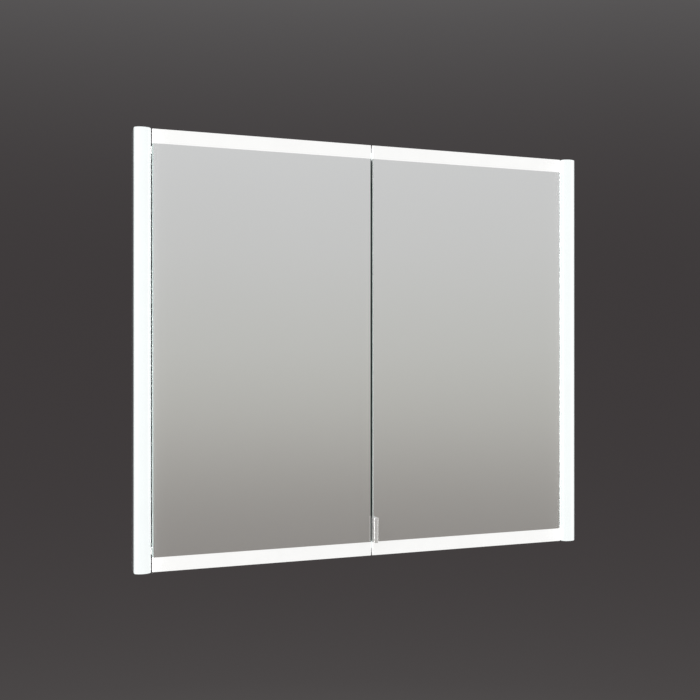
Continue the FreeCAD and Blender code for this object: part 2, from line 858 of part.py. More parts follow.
def make_grommet():
    """The rubber bush where the supply cable passes the top panel."""
    x = "grommet_x"
    y = "grommet_y"
    barrel = rod("grommet_radius", "panel", x, y, "inside_z")
    flange = rod("grommet_flange_radius", "grommet_flange", x, y, "carcass_z")
    bore = rod("grommet_bore", "panel + grommet_flange", x, y, "inside_z")
    keep(cut(join(barrel, flange), bore), "cable_grommet")


# ---------------------------------------------------------------- whole part


def build():
    fill_sheet()
    side_screws = bar_screws()
    foot_screws = bracket_screws()
    pins = shelf_pins()
    make_carcass(side_screws, foot_screws, pins)
    make_back_mirrors()
    make_shelves()
    make_bars(side_screws)
    make_band_lights()
    make_pivots(foot_screws)
    make_doors()
    make_catches()
    make_power_box()
    doc.recompute()


def check():
    """Raises if any object failed or any node has no valid solid."""
    for item in doc.Objects:
        if {"Invalid", "Error"} & set(item.State):
            raise RuntimeError(f"{item.Name} ({item.Label}) failed: {item.State}")
    for item in nodes:
        shape = item.Shape
        if shape.isNull() or not shape.isValid() or not shape.Solids:
            raise RuntimeError(f"{item.Label} has no valid solid")


def write():
    os.makedirs("parts", exist_ok=True)
    for item in nodes:
        item.Shape.exportStep(f"parts/{item.Label}.step")
        print(f"{item.Label}: {len(item.Shape.Solids)} solids, {item.Shape.Volume / 1000:.2f} cm3")


build()
check()
write()
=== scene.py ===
"""The looks of a flush-mounted, lit two-door mirror cabinet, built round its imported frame."""

import json
import math

import bpy
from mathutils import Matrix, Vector


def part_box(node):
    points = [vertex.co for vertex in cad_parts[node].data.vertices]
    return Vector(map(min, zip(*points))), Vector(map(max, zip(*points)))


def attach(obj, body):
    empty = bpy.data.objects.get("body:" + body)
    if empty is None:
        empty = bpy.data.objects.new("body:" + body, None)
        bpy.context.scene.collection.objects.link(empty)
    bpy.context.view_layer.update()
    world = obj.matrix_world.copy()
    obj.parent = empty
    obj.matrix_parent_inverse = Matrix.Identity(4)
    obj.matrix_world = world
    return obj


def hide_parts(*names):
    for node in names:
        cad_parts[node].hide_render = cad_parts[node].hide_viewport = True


bl_info = {
    "name": "Lit Mirror Cabinet",
    "version": (1, 0, 0),
    "blender": (4, 5, 0),
    "location": "View3D > Sidebar > Cabinet",
    "description": "Glass, lights, fittings and stage of a lit two-door mirror cabinet",
    "category": "Object",
}

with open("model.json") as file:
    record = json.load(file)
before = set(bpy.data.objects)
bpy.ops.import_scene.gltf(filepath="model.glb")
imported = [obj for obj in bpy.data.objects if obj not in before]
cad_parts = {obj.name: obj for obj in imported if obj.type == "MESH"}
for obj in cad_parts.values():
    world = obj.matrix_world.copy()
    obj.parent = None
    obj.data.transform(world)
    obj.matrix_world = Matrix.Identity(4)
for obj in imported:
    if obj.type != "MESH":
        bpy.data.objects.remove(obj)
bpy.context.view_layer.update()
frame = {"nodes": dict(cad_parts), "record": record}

MM = 0.001
NEAR = 0.01 * MM
X, Y, Z = Vector((1, 0, 0)), Vector((0, 1, 0)), Vector((0, 0, 1))
SIDES = (("left", -1), ("right", 1))
LEVELS = (("top", 1), ("bottom", -1))
BODY_OF = {
    node: body
    for body, members in frame["record"]["behaviour"]["bodies"].items()
    for node in members
}


# ---------------------------------------------------------------- settings


class CabinetLight(bpy.types.PropertyGroup):
    """How the lit pieces glow."""

    bar_colour: bpy.props.FloatVectorProperty(
        name="Bar colour", description="Colour of the lamps seen through the opal side bars",
        default=(0.945, 1.0, 1.0), size=3, subtype="COLOR", min=0, max=1,
    )
    # the band colour is the colour of the painted glow that the frosted bands emit themselves
    band_colour: bpy.props.FloatVectorProperty(
        name="Band colour", description="Colour of the lamps seen through the frosted bands",
        default=(1.0, 0.995, 0.985), size=3, subtype="COLOR", min=0, max=1,
    )
    strength: bpy.props.FloatProperty(
        name="Strength", description="How strongly the lit surfaces shine", default=0.72, min=0,
    )
    spill: bpy.props.FloatProperty(
        name="Spill", description="Watts that each side bar throws across the mirrors beside it",
        default=0.18, min=0,
    )
    gap_spill: bpy.props.FloatProperty(
        name="Gap spill", description="Watts that each side bar throws into the gap beside its door",
        default=0.11, min=0,
    )
    lamp_pitch: bpy.props.FloatProperty(
        name="Lamp pitch", description="Distance between the lamps on a strip",
        default=16 * MM, min=6 * MM, unit="LENGTH",
    )


class CabinetGlass(bpy.types.PropertyGroup):
    """Sizes and colours of the mirrors and the shelves."""

    silver: bpy.props.FloatVectorProperty(
        name="Silvering", description="Tint of a mirror's reflection",
        default=(0.90, 0.905, 0.90), size=3, subtype="COLOR", min=0, max=1,
    )
    edge: bpy.props.FloatVectorProperty(
        name="Polished edge", description="Colour of a pane seen through its edge",
        default=(0.075, 0.115, 0.100), size=3, subtype="COLOR", min=0, max=1,
    )
    band: bpy.props.FloatProperty(
        name="Band height", description="Height of the frosted band at a door's top and bottom",
        default=23 * MM, min=5 * MM, unit="LENGTH",
    )
    bevel: bpy.props.FloatProperty(
        name="Mirror bevel", description="Width of the bevel down a front mirror's upright edges",
        default=1.5 * MM, min=0.2 * MM, unit="LENGTH",
    )
    arris: bpy.props.FloatProperty(
        name="Arris", description="Width of the ground corner round any pane",
        default=0.4 * MM, min=0.1 * MM, unit="LENGTH",
    )


class CabinetMetal(bpy.types.PropertyGroup):
    """Colours of the metal pieces."""

    anodised: bpy.props.FloatVectorProperty(
        name="Anodised aluminium", description="Colour of the extruded channels",
        default=(0.62, 0.63, 0.64), size=3, subtype="COLOR", min=0, max=1,
    )
    chrome: bpy.props.FloatVectorProperty(
        name="Chrome", description="Colour of the caps, the shelf pins and the switch ring",
        default=(0.84, 0.85, 0.86), size=3, subtype="COLOR", min=0, max=1,
    )
    satin: bpy.props.FloatVectorProperty(
        name="Satin chrome", description="Colour of the door handle",
        default=(0.95, 0.95, 0.945), size=3, subtype="COLOR", min=0, max=1,
    )
    steel: bpy.props.FloatVectorProperty(
        name="Brushed steel", description="Colour of brackets, pins and screws",
        default=(0.55, 0.55, 0.54), size=3, subtype="COLOR", min=0, max=1,
    )


class CabinetBody(bpy.types.PropertyGroup):
    """Colours of boards and plastics."""

    lacquer: bpy.props.FloatVectorProperty(
        name="Lacquer", description="Colour of the cabinet's boards",
        default=(0.80, 0.80, 0.79), size=3, subtype="COLOR", min=0, max=1,
    )
    white: bpy.props.FloatVectorProperty(
        name="White plastic", description="Colour of the socket, switch and covers",
        default=(0.83, 0.83, 0.82), size=3, subtype="COLOR", min=0, max=1,
    )
    grey: bpy.props.FloatVectorProperty(
        name="Grey plastic", description="Colour of catches and bushes",
        default=(0.17, 0.175, 0.18), size=3, subtype="COLOR", min=0, max=1,
    )


class CabinetStage(bpy.types.PropertyGroup):
    """Camera and floor."""

    camera_place: bpy.props.FloatVectorProperty(
        name="Camera place", description="Camera, measured from the middle of the mirror face",
        default=(-0.603, -1.547, 0.0006), size=3, unit="LENGTH",
    )
    camera_turn: bpy.props.FloatProperty(
        name="Camera turn", description="How far the camera looks to the right of straight ahead",
        default=math.radians(20), subtype="ANGLE",
    )
    lens: bpy.props.FloatProperty(
        name="Lens", description="Focal length in millimetres", default=50, min=10,
    )
    floor_drop: bpy.props.FloatProperty(
        name="Floor drop", description="Floor below the cabinet's middle",
        default=1.5, min=0.5, unit="LENGTH",
    )
    floor_radius: bpy.props.FloatProperty(
        name="Floor radius", description="Radius of the round floor",
        default=2.2, min=1, unit="LENGTH",
    )
    floor_colour: bpy.props.FloatVectorProperty(
        name="Floor colour", description="Pale floor",
        default=(0.68, 0.67, 0.65), size=3, subtype="COLOR", min=0, max=1,
    )


GROUPS = {
    "cabinet_light": CabinetLight,
    "cabinet_glass": CabinetGlass,
    "cabinet_metal": CabinetMetal,
    "cabinet_body": CabinetBody,
    "cabinet_stage": CabinetStage,
}


# ---------------------------------------------------------------- modelling steps


def deselect():
    if bpy.context.object and bpy.context.object.mode != "OBJECT":
        bpy.ops.object.mode_set(mode="OBJECT")
    bpy.ops.object.select_all(action="DESELECT")


def pick(piece):
    """Makes a piece the only one selected."""
    deselect()
    piece.select_set(True)
    bpy.context.view_layer.objects.active = piece
    return piece


def settle(piece, name=None):
    """Puts the object's place into its mesh."""
    pick(piece)
    bpy.ops.object.transform_apply(location=True, rotation=True, scale=True)
    if name:
        piece.name = name
        piece.data.name = name
    return piece


def slab(name, low, high):
    """A box between two corners, in either order."""
    low, high = Vector(map(min, low, high)), Vector(map(max, low, high))
    deselect()
    bpy.ops.mesh.primitive_cube_add(size=1, location=(low + high) / 2)
    piece = bpy.context.object
    piece.scale = high - low
    return settle(piece, name)


def column(name, radius, start, end, sides=48, top_radius=None):
    """A round bar between two points, or a cone if the end has another radius."""
    start, end = Vector(start), Vector(end)
    deselect()
    bpy.ops.mesh.primitive_cone_add(
        vertices=sides,
        radius1=radius,
        radius2=radius if top_radius is None else top_radius,
        depth=(end - start).length,
        location=(start + end) / 2,
    )
    piece = bpy.context.object
    piece.rotation_mode = "QUATERNION"
    piece.rotation_quaternion = (end - start).to_track_quat("Z", "Y")
    return settle(piece, name)


def choose(piece, kind, chosen):
    """Enters edit mode with only the chosen edges or polygons of a piece selected."""
    pick(piece)
    mesh = piece.data
    for items in (mesh.vertices, mesh.edges, mesh.polygons):
        items.foreach_set("select", [False] * len(items))
    getattr(mesh, kind).foreach_set("select", chosen)
    bpy.context.tool_settings.mesh_select_mode = (False, kind == "edges", kind == "polygons")
    bpy.ops.object.mode_set(mode="EDIT")


def choose_faces(piece, test):
    """Chooses the faces whose centre and normal pass the test."""
    choose(piece, "polygons", [bool(test(f.center, f.normal)) for f in piece.data.polygons])


def choose_edges(piece, test):
    """Chooses the edges whose middle and direction pass the test."""
    chosen = []
    for edge in piece.data.edges:
        one, two = (piece.data.vertices[index].co for index in edge.vertices)
        chosen.append(bool(test((one + two) / 2, (two - one).normalized())))
    choose(piece, "edges", chosen)


def leave_edit():
    bpy.ops.object.mode_set(mode="OBJECT")


def bevel_edges(piece, test, width, steps=1):
    choose_edges(piece, test)
    bpy.ops.mesh.bevel(offset=width, offset_type="OFFSET", segments=steps, affect="EDGES")
    leave_edit()


def sink_face(piece, test, border, way):
    """Insets the chosen faces by a border and pushes the middle along a direction."""
    choose_faces(piece, test)
    bpy.ops.mesh.inset(thickness=border, depth=0, use_even_offset=True)
    bpy.ops.mesh.extrude_region_move(TRANSFORM_OT_translate={"value": way})
    leave_edit()


def split(piece, point, normal):
    """Cuts every face along a plane and keeps both halves joined."""
    choose_faces(piece, lambda centre, face_normal: True)
    bpy.ops.mesh.bisect(plane_co=point, plane_no=normal)
    leave_edit()


def apply(piece, modifier):
    pick(piece)
    bpy.ops.object.modifier_apply(modifier=modifier.name)


def soften(piece, width, steps=2, angle=30):
    """Rounds a piece's sharp edges and smooths its curved faces."""
    modifier = piece.modifiers.new("Soft edges", "BEVEL")
    modifier.width = width
    modifier.segments = steps
    modifier.limit_method = "ANGLE"
    modifier.angle_limit = math.radians(angle)
    modifier.use_clamp_overlap = True
    apply(piece, modifier)
    smooth(piece, angle)
    return piece


def smooth(piece, angle=30):
    """Smooths the curved faces and keeps the flat ones flat."""
    pick(piece)
    bpy.ops.object.shade_smooth_by_angle(angle=math.radians(angle))
    modifier = piece.modifiers.new("Flat faces", "WEIGHTED_NORMAL")
    modifier.keep_sharp = True
    apply(piece, modifier)
    return piece


def carve(piece, *cutters):
    """Cuts other closed shapes out of a piece."""
    for cutter in cutters:
        modifier = piece.modifiers.new("Carve", "BOOLEAN")
        modifier.operation = "DIFFERENCE"
        modifier.solver = "EXACT"
        modifier.object = cutter
        apply(piece, modifier)
        bpy.data.objects.remove(cutter)
    return piece


def join(name, pieces):
    """Several shapes as one object."""
    pick(pieces[0])
    for piece in pieces[1:]:
        piece.select_set(True)
    if len(pieces) > 1:
        bpy.ops.object.join()
    joined = bpy.context.object
    joined.name = name
    joined.data.name = name
    return joined


def repeat(piece, shift, name=None):
    """A copy with its own mesh, moved by a vector."""
    copy = bpy.data.objects.new(name or piece.name, piece.data.copy())
    bpy.context.scene.collection.objects.link(copy)
    copy.location = shift
    return settle(copy)


def refined(node, name, width, steps=2, angle=35):
    """A clean copy of a CAD node's shape with its edges rounded."""
    mesh = frame["nodes"][node].data.copy()
    mesh.materials.clear()
    piece = bpy.data.objects.new(name, mesh)
    bpy.context.scene.collection.objects.link(piece)
    mesh.name = name
    choose_faces(piece, lambda centre, normal: True)
    bpy.ops.mesh.remove_doubles(threshold=0.002 * MM)
    bpy.ops.mesh.dissolve_limited(angle_limit=math.radians(0.5))
    leave_edit()
    return soften(piece, width, steps, angle)


def paint(piece, finish, test=None):
    """Gives a finish to the whole piece, or to the faces whose centre and normal pass a test."""
    materials = piece.data.materials
    if test is None:
        materials.clear()
        materials.append(finish)
        return piece
    if finish.name not in materials:
        materials.append(finish)
    index = materials.find(finish.name)
    for face in piece.data.polygons:
        if test(face.center, face.normal):
            face.material_index = index
    return piece


def fit(piece, *nodes, like=None):
    """Rides on the body of its node and stands for the nodes named."""
    lead = like or nodes[0]
    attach(piece, BODY_OF[lead])
    if nodes:
        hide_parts(*nodes)
    return piece


def dressed(node, name, coat, width, steps=2, angle=35):
    """A node's shape with its edges rounded and one finish all over."""
    return fit(paint(refined(node, name, width, steps, angle), finish(coat)), node)


def assembled(node, name, coat, parts):
    """Several shapes as one piece, with one finish all over."""
    return fit(paint(join(name, parts), finish(coat)), node)


def corners(node):
    """The low corner, the high corner and the middle of a node's box."""
    low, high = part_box(node)
    return low, high, (low + high) / 2


# ---------------------------------------------------------------- finishes

FINISHES = {}


def finish(name):
    """Each finish is made once, by the function that its name gives."""
    if name not in FINISHES:
        material = bpy.data.materials.new(name)
        material.use_nodes = True
        tree = material.node_tree
        MAKERS[name](tree, tree.nodes["Principled BSDF"])
        FINISHES[name] = material
    return FINISHES[name]


def link(tree, source, node, socket):
    tree.links.new(source, node.inputs[socket])


def put(node, **values):
    """Sets uniform values by socket name, so that coat_weight stands for Coat Weight."""
    for name, value in values.items():
        socket = name.upper() if name == "ior" else name.replace("_", " ").title()
        node.inputs[socket].default_value = value


def place_map(tree, scale=(1, 1, 1)):
    """Object coordinates, stretched."""
    place = tree.nodes.new("ShaderNodeTexCoord")
    mapping = tree.nodes.new("ShaderNodeMapping")
    put(mapping, scale=scale)
    link(tree, place.outputs["Object"], mapping, "Vector")
    return mapping.outputs["Vector"]


def grain(tree, scale, stretch=(1, 1, 1), detail=3, rough=0.55):
    noise = tree.nodes.new("ShaderNodeTexNoise")
    put(noise, scale=scale, detail=detail, roughness=rough)
    link(tree, place_map(tree, stretch), noise, "Vector")
    return noise.outputs["Fac"]


def spread(tree, source, low, high, start=0.3, end=0.7):
    """Maps a pattern onto a range of numbers."""
    node = tree.nodes.new("ShaderNodeMapRange")
    put(node, from_min=start, from_max=end, to_min=low, to_max=high)
    link(tree, source, node, "Value")
    return node.outputs["Result"]


def shades(tree, source, dark, light, start=0.3, end=0.7):
    """Maps a pattern onto two colours."""
    ramp = tree.nodes.new("ShaderNodeValToRGB")
    ramp.color_ramp.elements[0].position = start
    ramp.color_ramp.elements[0].color = (*dark, 1)
    ramp.color_ramp.elements[1].position = end
    ramp.color_ramp.elements[1].color = (*light, 1)
    link(tree, source, ramp, "Fac")
    return ramp.outputs["Color"]


def relief(tree, shader, source, height, strength=0.4):
    node = tree.nodes.new("ShaderNodeBump")
    put(node, strength=strength, distance=height)
    link(tree, source, node, "Height")
    link(tree, node.outputs["Normal"], shader, "Normal")


def vary_colour(tree, shader, source, colour, amount):
    dark = tuple(part * (1 - amount) for part in colour)
    light = tuple(min(1, part * (1 + amount)) for part in colour)
    link(tree, shades(tree, source, dark, light), shader, "Base Color")


def rub(tree, shader, source, low, high):
    """Lets a pattern vary the roughness."""
    link(tree, spread(tree, source, low, high), shader, "Roughness")


def surface(tree, shader, pattern, colour, change, rough=None, height=0, strength=0.4, **values):
    """One pattern that varies a finish's colour, its roughness and its relief."""
    vary_colour(tree, shader, pattern, colour, change)
    put(shader, **values)
    if rough:
        rub(tree, shader, pattern, *rough)
    if height:
        relief(tree, shader, pattern, height, strength)


def setting(group, name):
    return getattr(getattr(bpy.context.scene, group), name)


def silvering(tree, shader):
    """Back-silvered glass: a sharp reflection, a faint haze and the odd cleaning smear."""
    haze = grain(tree, 2.5, (1, 1, 0.4))
    vary_colour(tree, shader, haze, setting("cabinet_glass", "silver"), 0.008)
    rub(tree, shader, grain(tree, 9, (0.6, 1, 1.6), detail=5), 0.004, 0.018)
    put(shader, metallic=0.95, coat_weight=0.4, coat_roughness=0.02)


def polished_edge(tree, shader):
    """Ground and polished float glass, seen into through its edge."""
    streaks = grain(tree, 60, (1, 1, 0.15), detail=4)
    surface(
        tree, shader, streaks, setting("cabinet_glass", "edge"), 0.25, height=0.02 * MM,
        strength=0.3, roughness=0.12, ior=1.52, coat_weight=0.8, coat_roughness=0.05,
    )


def lit_edge(tree, shader):
    """The polished edge beside a side bar, with painted glow: a lighter copy of the edge finish that emits
    light itself, standing in for the bar's light.
    """
    streaks = grain(tree, 60, (1, 1, 0.15), detail=4)
    surface(tree, shader, streaks, (0.12, 0.145, 0.14), 0.15, roughness=0.3)
    glow(tree, shader, setting("cabinet_light", "bar_colour"), streaks, 0.75, 0.12)


def mirror_backing(tree, shader):
    """The grey protective paint on the back of a mirror."""
    mottle = grain(tree, 140, detail=4)
    surface(tree, shader, mottle, (0.20, 0.21, 0.21), 0.12, height=0.03 * MM, strength=0.3, roughness=0.55)


def glow(tree, shader, colour, source, low, strength=1):
    """Lights a surface up, a little unevenly."""
    dim = tuple(part * low for part in colour)
    link(tree, shades(tree, source, dim, colour), shader, "Emission Color")
    put(shader, emission_strength=strength * setting("cabinet_light", "strength"))


def opal_acrylic(tree, shader):
    """Opal acrylic with the lamps behind it."""
    grainy = grain(tree, 420, detail=2)
    vary_colour(tree, shader, grainy, (0.34, 0.345, 0.345), 0.03)
    put(shader, roughness=0.32, coat_weight=0.3, coat_roughness=0.15)
    glow(tree, shader, setting("cabinet_light", "bar_colour"), grain(tree, 18, (0.3, 0.3, 1)), 0.97)
    relief(tree, shader, grainy, 0.01 * MM, 0.2)


def frosted_glass(tree, shader):
    """The sand-blasted band of a mirror, with painted glow: the band emits light itself, standing in for the
    lamps behind it, and glows with the door open too.
    """
    blast = grain(tree, 2600, detail=2)
    vary_colour(tree, shader, blast, (0.30, 0.305, 0.305), 0.06)
    put(shader, roughness=0.42, coat_weight=0.3, coat_roughness=0.04)
    glow(tree, shader, setting("cabinet_light", "band_colour"), grain(tree, 30, (1, 1, 1)), 0.97)
    relief(tree, shader, blast, 0.02 * MM, 0.25)


def shelf_glass(tree, shader):
    """Clear toughened glass with a faint green cast."""
    wave = grain(tree, 14, detail=1)
    rub(tree, shader, wave, 0.01, 0.04)
    put(shader, base_color=(0.90, 0.97, 0.94, 1), ior=1.5, transmission_weight=1)
    relief(tree, shader, wave, 0.05 * MM, 0.05)


def extruded(tree, shader, stretch):
    """Satin anodised extrusion with fine drawing lines."""
    lines = grain(tree, 900, stretch, detail=2)
    surface(
        tree, shader, lines, setting("cabinet_metal", "anodised"), 0.07,
        (0.30, 0.42), 0.01 * MM, 0.25, metallic=1,
    )


def anodised(tree, shader):
    """Extrusion drawn along Z."""
    extruded(tree, shader, (1, 1, 0.01))


def anodised_across(tree, shader):
    """Extrusion drawn along X."""
    extruded(tree, shader, (0.01, 1, 1))


def chrome_plate(tree, shader):
    """Bright plating, with light wear that scatters a little."""
    wear = grain(tree, 160, detail=5)
    surface(tree, shader, wear, setting("cabinet_metal", "chrome"), 0.02, (0.05, 0.11), metallic=1)


def satin_chrome(tree, shader):
    """Satin plating on the handle, finely brushed from end to end."""
    lines = grain(tree, 1400, (1, 1, 0.03), detail=2)
    surface(
        tree, shader, lines, setting("cabinet_metal", "satin"), 0.03,
        (0.22, 0.30), 0.005 * MM, 0.2, metallic=0.72,
    )


def brushed_steel(tree, shader):
    """Stainless steel with short brushing marks."""
    marks = grain(tree, 1100, (1, 0.06, 1), detail=3)
    surface(
        tree, shader, marks, setting("cabinet_metal", "steel"), 0.12,
        (0.24, 0.42), 0.015 * MM, 0.3, metallic=1,
    )


def lacquer(tree, shader):
    """White satin lacquer with a fine orange peel."""
    peel = grain(tree, 480, detail=2)
    vary_colour(tree, shader, grain(tree, 5, detail=4), setting("cabinet_body", "lacquer"), 0.015)
    rub(tree, shader, peel, 0.30, 0.38)
    put(shader, coat_weight=0.15, coat_roughness=0.2)
    relief(tree, shader, peel, 0.02 * MM, 0.25)


def edge_banding(tree, shader):
    """Aluminium-coloured banding on the door core, brushed along the edge."""
    lines = grain(tree, 700, (0.02, 1, 0.02), detail=3)
    surface(tree, shader, lines, (0.52, 0.53, 0.54), 0.10, (0.34, 0.48), 0.01 * MM, 0.3, metallic=0.9)


def moulded(tree, shader, colour, gloss):
    """Moulded plastic with a fine spark-eroded texture."""
    texture = grain(tree, 1500, detail=2)
    vary_colour(tree, shader, grain(tree, 40, detail=3), colour, 0.03)
    rub(tree, shader, texture, gloss, gloss + 0.12)
    relief(tree, shader, texture, 0.015 * MM, 0.35)


def white_plastic(tree, shader):
    moulded(tree, shader, setting("cabinet_body", "white"), 0.28)


def grey_plastic(tree, shader):
    moulded(tree, shader, setting("cabinet_body", "grey"), 0.45)


def dark_hollow(tree, shader):
    """Near-black moulding: the resistors' own black, and painted shade inside the socket's contact holes."""
    moulded(tree, shader, (0.02, 0.02, 0.022), 0.5)


def soft_rubber(tree, shader):
    """Black rubber of the cable bush."""
    texture = grain(tree, 700, detail=4)
    surface(
        tree, shader, texture, (0.045, 0.045, 0.048), 0.2, height=0.03 * MM, strength=0.4, roughness=0.72
    )


def clear_rubber(tree, shader):
    """Milky clear bumper rubber."""
    texture = grain(tree, 300, detail=3)
    surface(
        tree, shader, texture, (0.62, 0.63, 0.62), 0.05, height=0.01 * MM,
        strength=0.2, roughness=0.3, subsurface_weight=0.4,
    )


def solder_mask(tree, shader):
    """The white face of a lamp strip."""
    fibres = grain(tree, 900, (1, 1, 0.2), detail=3)
    surface(tree, shader, fibres, (0.82, 0.83, 0.80), 0.03, height=0.01 * MM, strength=0.2, roughness=0.38)


def copper_pad(tree, shader):
    """Slightly tarnished copper."""
    tarnish = grain(tree, 800, detail=4)
    surface(tree, shader, tarnish, (0.72, 0.42, 0.22), 0.15, (0.2, 0.4), metallic=1)


def phosphor(tree, shader):
    """The lit face of a lamp."""
    grains = grain(tree, 3000, detail=2)
    surface(tree, shader, grains, (0.95, 0.86, 0.45), 0.06, roughness=0.35)
    glow(tree, shader, setting("cabinet_light", "bar_colour"), grains, 0.9, 3)


MAKERS = {
    maker.__name__: maker
    for maker in (
        silvering, polished_edge, lit_edge, mirror_backing, opal_acrylic, frosted_glass, shelf_glass,
        anodised, anodised_across, chrome_plate, satin_chrome, brushed_steel, lacquer, edge_banding,
        white_plastic, grey_plastic, dark_hollow, soft_rubber, clear_rubber, solder_mask, copper_pad,
        phosphor,
    )
}


# ---------------------------------------------------------------- fasteners


SCREW_RADIUS = 2.4 * MM
SCREW_RISE = 1.4 * MM
BRACKET_SCREW_GAP = 12 * MM
# half the length and width of a cross recess, in head radii, and its depth, in head heights
SLOT_LENGTH, SLOT_WIDTH, SLOT_DEPTH = 0.62, 0.13, 0.55


def cross_head(name, centre, way, radius, height):
    """A round screw head with a cross recess. The centre is on the seat and way points out of it."""
    top = centre + way * height
    head = column(name, radius, centre, top, sides=32)
    soften(head, height * 0.45, 3, 50)
    across = way.orthogonal().normalized()
    for turn in (across, way.cross(across)):
        third = way.cross(turn)
        size = turn * radius * SLOT_LENGTH + third * radius * SLOT_WIDTH + way * height * SLOT_DEPTH
        size = Vector(map(abs, size))
        carve(head, slab("slot", top - size, top + size))
    smooth(head, 40)
    return head


# ---------------------------------------------------------------- pieces


def front_mirror(side):
    """One door's front pane: bevelled upright edges, silvered middle and frosted bands."""
    node = f"{side}_front_mirror"
    glass = bpy.context.scene.cabinet_glass
    low, high, middle = corners(node)
    pane = slab(f"{side}_mirror_glass", low, high)
    for level in (low.z + glass.band, high.z - glass.band):
        split(pane, (0, 0, level), Z)
    bevel_edges(pane, lambda at, way: abs(way.z) > 0.9 and at.y < low.y + NEAR, glass.bevel)
    bevel_edges(pane, lambda at, way: abs(way.x) > 0.9 and abs(abs(at.z) - high.z) < NEAR, glass.arris)
    inner = high.z - glass.band
    paint(pane, finish("polished_edge"))
    # painted glow: the outer upright edges beside the side bars get the lighter, light-emitting edge finish
    paint(pane, finish("lit_edge"), lambda at, way: abs(at.x) > abs(middle.x) and abs(way.x) > 0.6)
    paint(pane, finish("silvering"), lambda at, way: way.y < -0.99 and abs(at.z) < inner)
    # painted glow: the frosted bands emit light of their own
    paint(pane, finish("frosted_glass"), lambda at, way: abs(at.z) > inner)
    paint(pane, finish("mirror_backing"), lambda at, way: way.y > 0.99 and abs(at.z) < inner)
    return fit(pane, node)


def inner_mirror(side):
    """The mirror on the inside of a door."""
    node = f"{side}_inner_mirror"
    pane = slab(f"{side}_inner_mirror_glass", *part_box(node))
    soften(pane, 0.8 * MM, 1)
    paint(pane, finish("polished_edge"))
    paint(pane, finish("silvering"), lambda at, way: way.y > 0.99)
    return fit(pane, node)


def back_mirror(side):
    """The mirror behind the shelves of one half."""
    node = f"{side}_back_mirror"
    pane = refined(node, f"{side}_back_mirror_glass", 0.5 * MM, 1)
    paint(pane, finish("polished_edge"))
    paint(pane, finish("silvering"), lambda at, way: way.y < -0.99)
    return fit(pane, node)


def handle():
    """The chrome tab: a rounded grip with a finger scoop, and the leg along the door's edge."""
    low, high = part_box("door_handle")
    face_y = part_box("right_front_mirror")[0].y
    edge_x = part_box("right_front_mirror")[0].x
    core_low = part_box("right_door_core")[0].z
    grip = slab("grip", low, (high.x, face_y, high.z))
    bevel_edges(grip, lambda at, way: abs(way.z) > 0.9 and at.y < low.y + NEAR, 2.2 * MM, 7)
    radius = 4.2 * MM
    scoop_at = Vector((high.x + 1.2 * MM, face_y - radius - 0.6 * MM, 0))
    cutter = column("scoop", radius, scoop_at + Z * (low.z + 4 * MM), scoop_at + Z * (high.z - 4 * MM), 64)
    carve(grip, cutter)
    soften(grip, 0.3 * MM, 3, 32)
    leg = slab("leg", (low.x, face_y - 0.2 * MM, core_low), (edge_x, high.y, high.z))
    soften(leg, 0.25 * MM, 2)
    piece = join("handle_tab", [grip, leg])
    paint(piece, finish("satin_chrome"))
    fit(piece, "door_handle")
    low, high, middle = corners("handle_screws")
    radius = (high.y - low.y) / 2
    heads = [
        cross_head("head", Vector((low.x + 1.1 * MM, middle.y, z)), -X, radius, 1.1 * MM)
        for z in (low.z + radius, high.z - radius)
    ]
    return assembled("handle_screws", "handle_screw_heads", "brushed_steel", heads)


def half_oval(name, low, high, rise, depth):
    """A straight bar whose front is half an oval and whose back is flat. Low and high bound its back part."""
    middle = (low + high) / 2
    deselect()
    bpy.ops.mesh.primitive_cylinder_add(
        vertices=96, radius=1, depth=high.z - low.z, location=(middle.x, low.y, middle.z)
    )
    piece = bpy.context.object
    piece.scale = ((high.x - low.x) / 2, rise, 1)
    settle(piece, name)
    choose_faces(piece, lambda at, way: True)
    bpy.ops.mesh.bisect(
        plane_co=(0, low.y, 0), plane_no=Y, use_fill=True, clear_outer=True
    )
    leave_edit()
    choose_faces(piece, lambda at, way: way.y > 0.99)
    bpy.ops.mesh.extrude_region_move(TRANSFORM_OT_translate={"value": Y * depth})
    leave_edit()
    return piece


def bar_cover(side):
    """The opal cover of a side bar, hollow behind, with a crisp step where it meets the channel."""
    node = f"{side}_bar_diffuser"
    low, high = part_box(node)
    face_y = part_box(f"{side}_front_mirror")[0].y
    channel_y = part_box(f"{side}_bar_channel")[0].y
    wall = 2 * MM
    cover = half_oval(
        f"{side}_opal_cover", Vector((low.x, face_y, low.z)), Vector((high.x, face_y, high.z)),
        face_y - low.y, channel_y - face_y,
    )
    sink_face(cover, lambda at, way: way.y > 0.99, wall, -Y * (channel_y - face_y + 4 * MM))
    lip = 1.9 * MM
    lips = slab(
        "lips", (low.x + lip, channel_y - 0.2 * MM, low.z), (high.x - lip, high.y, high.z)
    )
    sink_face(lips, lambda at, way: way.y > 0.99, 1.2 * MM, -Y * (high.y - channel_y - 0.2 * MM))
    smooth(cover, 30)
    piece = join(cover.name, [cover, lips])
    paint(piece, finish("opal_acrylic"))
    return fit(piece, node)


def bar_channel(side):
    """The aluminium channel of a side bar, with a shadow groove down each outer wall."""
    node = f"{side}_bar_channel"
    channel = refined(node, f"{side}_bar_extrusion", 0.35 * MM, 2)
    low, high, middle = corners(node)
    groove = 0.5 * MM
    for x in (low.x, high.x):
        at = Vector((x, low.y + 3 * MM, middle.z))
        size = Vector((groove, groove, high.z))
        carve(channel, slab("groove", at - size, at + size))
    paint(channel, finish("anodised"))
    return fit(channel, node)


